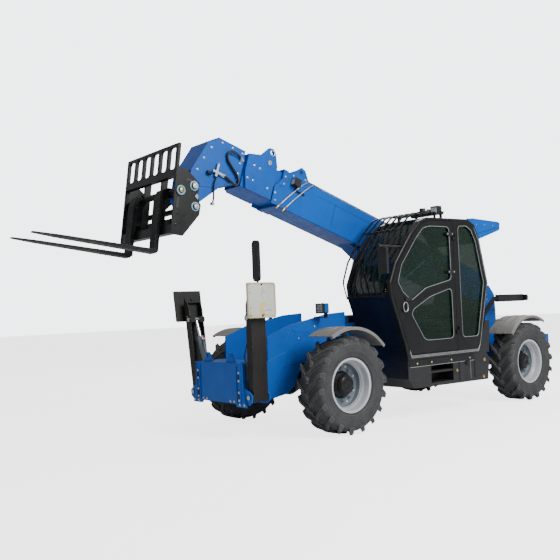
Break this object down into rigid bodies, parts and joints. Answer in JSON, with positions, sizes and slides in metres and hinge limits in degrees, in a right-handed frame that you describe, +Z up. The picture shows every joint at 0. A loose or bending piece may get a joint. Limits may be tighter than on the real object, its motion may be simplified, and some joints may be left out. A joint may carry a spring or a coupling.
{
  "type": "telehandler",
  "caption": "Telehandler with a telescopic boom on a rear pivot, offset cab, four steered wheels, front stabilisers and a fork carriage.",
  "frame": {"origin": "ground point under the middle of the whole machine at rest", "axes": "+X forwards along the machine, +Y to the operator's left, +Z up"},
  "size_m": [8.2588, 2.494, 3.661],
  "materials": {
    "blue_paint": "satin",
    "black_paint": "satin",
    "black_plastic": "matte",
    "tyre_rubber": "matte",
    "rim_silver": "satin",
    "fender_plastic": "matte",
    "chrome_rod": "polished",
    "cylinder_paint": "satin",
    "worn_steel": "worn",
    "pad_paint": "worn",
    "tinted_glass": "gloss",
    "seat_fabric": "matte",
    "engine_grey": "rough"
  },
  "bodies": {
    "chassis": {"chassis_frame": "blue_paint", "counterweight": "blue_paint", "front_axle": "black_paint", "rear_axle": "black_paint", "cab_shell": "black_paint", "cab_glass": "tinted_glass", "windscreen_guard": "black_paint", "cab_base": "black_plastic", "seat": "seat_fabric", "steering_column": "black_plastic", "roof_fairing": "blue_paint", "roof_lamps": "black_plastic", "mirrors": "black_plastic", "headlamps": "black_plastic", "tail_lamps": "black_paint", "engine_tub": "black_plastic", "engine_block": "engine_grey"},
    "boom_outer": {"boom_outer": "blue_paint", "boom_pipes": "black_paint", "work_lamp": "black_plastic"},
    "boom_mid": {"boom_mid": "blue_paint"},
    "boom_inner": {"boom_inner": "blue_paint"},
    "carriage": {"coupler": "black_paint", "carriage": "black_paint", "fork_shaft": "worn_steel", "forks": "worn_steel"},
    "lift_barrel": {"lift_barrel": "black_paint"},
    "lift_rod": {"lift_rod": "chrome_rod"},
    "tilt_barrel": {"tilt_barrel": "black_paint"},
    "tilt_rod": {"tilt_rod": "chrome_rod"},
    "door": {"door_frame": "black_paint", "door_glass": "tinted_glass"},
    "hood": {"hood": "blue_paint"},
    "steer_fl": {"knuckle_fl": "black_paint", "fender_fl": "fender_plastic"},
    "wheel_fl": {"tyre_fl": "tyre_rubber", "rim_fl": "rim_silver"},
    "steer_fr": {"knuckle_fr": "black_paint", "fender_fr": "fender_plastic"},
    "wheel_fr": {"tyre_fr": "tyre_rubber", "rim_fr": "rim_silver"},
    "steer_rl": {"knuckle_rl": "black_paint", "fender_rl": "fender_plastic"},
    "wheel_rl": {"tyre_rl": "tyre_rubber", "rim_rl": "rim_silver"},
    "steer_rr": {"knuckle_rr": "black_paint", "fender_rr": "fender_plastic"},
    "wheel_rr": {"tyre_rr": "tyre_rubber", "rim_rr": "rim_silver"},
    "leg_left": {"leg_left": "black_paint"},
    "foot_left": {"foot_left": "pad_paint"},
    "stab_barrel_left": {"stab_barrel_left": "cylinder_paint"},
    "stab_rod_left": {"stab_rod_left": "chrome_rod"},
    "leg_right": {"leg_right": "black_paint"},
    "foot_right": {"foot_right": "pad_paint"},
    "stab_barrel_right": {"stab_barrel_right": "cylinder_paint"},
    "stab_rod_right": {"stab_rod_right": "chrome_rod"}
  },
  "joints": [
    {"name": "boom_lift", "type": "hinge", "parent": "chassis", "child": "boom_outer", "pos_m": [-3.3194, 0, 1.6], "axis": [0, -1, 0], "range_deg": [-21, 50]},
    {"name": "boom_mid_slide", "type": "slide", "parent": "boom_outer", "child": "boom_mid", "axis": [0.9511, 0, 0.309], "range_m": [0, 3.3]},
    {"name": "boom_inner_slide", "type": "slide", "parent": "boom_mid", "child": "boom_inner", "axis": [0.9511, 0, 0.309], "range_m": [0, 3.3]},
    {"name": "carriage_tilt", "type": "hinge", "parent": "boom_inner", "child": "carriage", "pos_m": [2.13607, 0, 2.89943], "axis": [0, 1, 0], "range_deg": [-25, 85]},
    {"name": "lift_barrel_swing", "type": "hinge", "parent": "chassis", "child": "lift_barrel", "pos_m": [-2.7194, 0, 0.6], "axis": [0, -1, 0], "range_deg": [-17.72, 41.5]},
    {"name": "lift_rod_slide", "type": "slide", "parent": "lift_barrel", "child": "lift_rod", "axis": [0.7568, 0, 0.6536], "range_m": [-0.4, 0.945]},
    {"name": "tilt_barrel_swing", "type": "hinge", "parent": "boom_inner", "child": "tilt_barrel", "pos_m": [1.21597, 0, 3.3365], "axis": [0, 1, 0], "range_deg": [-1.5, 4]},
    {"name": "tilt_rod_slide", "type": "slide", "parent": "tilt_barrel", "child": "tilt_rod", "axis": [0.9778, 0, -0.2093], "range_m": [-0.09, 0.3]},
    {"name": "steer_fl", "type": "hinge", "parent": "chassis", "child": "steer_fl", "pos_m": [0.6306, 0.8, 0.59], "axis": [0, 0, 1], "range_deg": [-33, 33]},
    {"name": "roll_fl", "type": "hinge", "parent": "steer_fl", "child": "wheel_fl", "pos_m": [0.6306, 1.02, 0.59], "axis": [0, 1, 0], "continuous": true},
    {"name": "steer_fr", "type": "hinge", "parent": "chassis", "child": "steer_fr", "pos_m": [0.6306, -0.8, 0.59], "axis": [0, 0, 1], "range_deg": [-33, 33]},
    {"name": "roll_fr", "type": "hinge", "parent": "steer_fr", "child": "wheel_fr", "pos_m": [0.6306, -1.02, 0.59], "axis": [0, 1, 0], "continuous": true},
    {"name": "steer_rl", "type": "hinge", "parent": "chassis", "child": "steer_rl", "pos_m": [-3.1994, 0.8, 0.59], "axis": [0, 0, 1], "range_deg": [-33, 33]},
    {"name": "roll_rl", "type": "hinge", "parent": "steer_rl", "child": "wheel_rl", "pos_m": [-3.1994, 1.02, 0.59], "axis": [0, 1, 0], "continuous": true},
    {"name": "steer_rr", "type": "hinge", "parent": "chassis", "child": "steer_rr", "pos_m": [-3.1994, -0.8, 0.59], "axis": [0, 0, 1], "range_deg": [-33, 33]},
    {"name": "roll_rr", "type": "hinge", "parent": "steer_rr", "child": "wheel_rr", "pos_m": [-3.1994, -1.02, 0.59], "axis": [0, 1, 0], "continuous": true},
    {"name": "door_hinge", "type": "hinge", "parent": "chassis", "child": "door", "pos_m": [-1.5194, 1.164, 1.8], "axis": [0, 0, 1], "range_deg": [0, 95]},
    {"name": "hood_hinge", "type": "hinge", "parent": "chassis", "child": "hood", "pos_m": [-1.5694, -0.315, 1.384], "axis": [-1, 0, 0], "range_deg": [0, 70]},
    {"name": "leg_left", "type": "hinge", "parent": "chassis", "child": "leg_left", "pos_m": [1.6006, 0.6, 0.52], "axis": [-1, 0, 0], "range_deg": [0, 112]},
    {"name": "foot_left", "type": "hinge", "parent": "leg_left", "child": "foot_left", "pos_m": [1.6006, 0.6845, 1.65], "axis": [1, 0, 0], "range_deg": [-10, 25]},
    {"name": "stab_barrel_left", "type": "hinge", "parent": "chassis", "child": "stab_barrel_left", "pos_m": [1.6006, 0.39, 0.65], "axis": [-1, 0, 0], "range_deg": [-0.5, 100.18]},
    {"name": "stab_rod_left", "type": "slide", "parent": "stab_barrel_left", "child": "stab_rod_left", "axis": [0, 0.2195, 0.9756], "range_m": [-0.002, 0.396]},
    {"name": "leg_right", "type": "hinge", "parent": "chassis", "child": "leg_right", "pos_m": [1.6006, -0.6, 0.52], "axis": [1, 0, 0], "range_deg": [-8, 104]},
    {"name": "foot_right", "type": "hinge", "parent": "leg_right", "child": "foot_right", "pos_m": [1.6006, -0.84094, 1.62724], "axis": [-1, 0, 0], "range_deg": [-10, 25]},
    {"name": "stab_barrel_right", "type": "hinge", "parent": "chassis", "child": "stab_barrel_right", "pos_m": [1.6006, -0.39, 0.65], "axis": [1, 0, 0], "range_deg": [-7.62, 93.06]},
    {"name": "stab_rod_right", "type": "slide", "parent": "stab_barrel_right", "child": "stab_rod_right", "axis": [0, -0.363, 0.9318], "range_m": [-0.03, 0.368]}
  ],
  "couplings": [
    {"joint": "boom_inner_slide", "follows": "boom_mid_slide", "ratio": 1},
    {"joint": "lift_barrel_swing", "follows": "boom_lift", "ratio": 0.82},
    {"joint": "lift_rod_slide", "follows": "boom_lift", "m_per_rad": 1.0743},
    {"joint": "tilt_barrel_swing", "follows": "carriage_tilt", "ratio": 0.04},
    {"joint": "tilt_rod_slide", "follows": "carriage_tilt", "m_per_rad": 0.20053},
    {"joint": "steer_fr", "follows": "steer_fl", "ratio": 1},
    {"joint": "steer_rr", "follows": "steer_rl", "ratio": 1},
    {"joint": "stab_barrel_left", "follows": "leg_left", "ratio": 0.89},
    {"joint": "stab_rod_left", "follows": "leg_left", "m_per_rad": 0.20053},
    {"joint": "stab_barrel_right", "follows": "leg_right", "ratio": 0.89},
    {"joint": "stab_rod_right", "follows": "leg_right", "m_per_rad": 0.20053}
  ]
}
